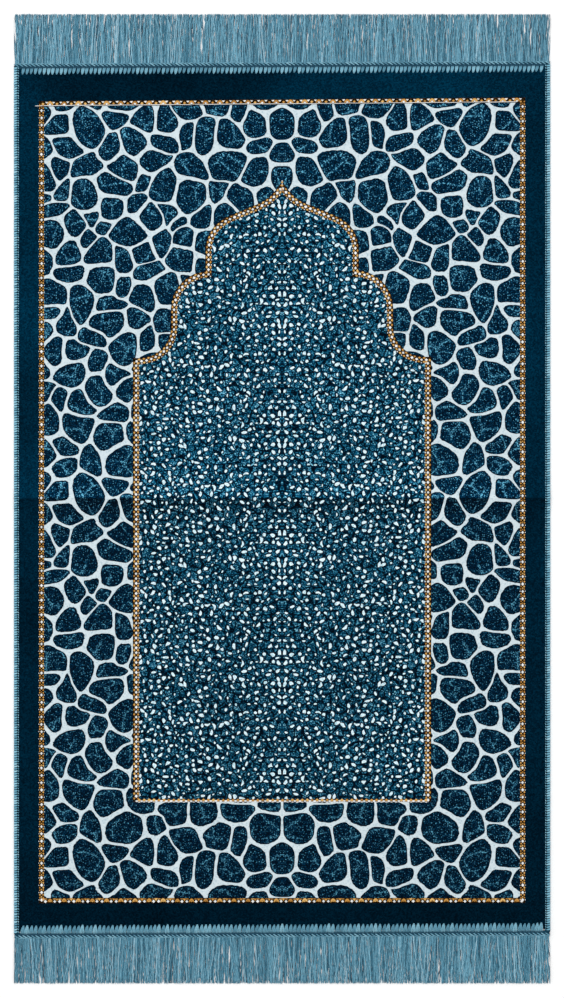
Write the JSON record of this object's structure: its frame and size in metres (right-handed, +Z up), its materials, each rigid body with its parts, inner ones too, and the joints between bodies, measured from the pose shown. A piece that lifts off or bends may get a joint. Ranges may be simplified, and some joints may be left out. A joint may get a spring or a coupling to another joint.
{
  "type": "prayer rug",
  "caption": "Flat oblong plush prayer rug with overlocked long sides, a fringe trim whip-stitched over each end and a soft fold ridge across its middle.",
  "frame": {"origin": "on the floor, under the middle of the rug with its fringes", "axes": "+Y along the rug to the end that the arch points to, +X to the right seen from the foot, +Z up from the floor through the pile"},
  "size_m": [0.66, 1.194, 0.0055],
  "materials": {
    "plush_pile": "short cut pile, soft sheen",
    "serging_thread": "wound polyester thread",
    "fringe_yarn": "fine twisted yarn"
  },
  "bodies": {
    "root": {"pile_cloth": "plush_pile", "serging_left": "serging_thread", "serging_right": "serging_thread", "fringe_head": "fringe_yarn", "fringe_foot": "fringe_yarn"}
  },
  "joints": []
}
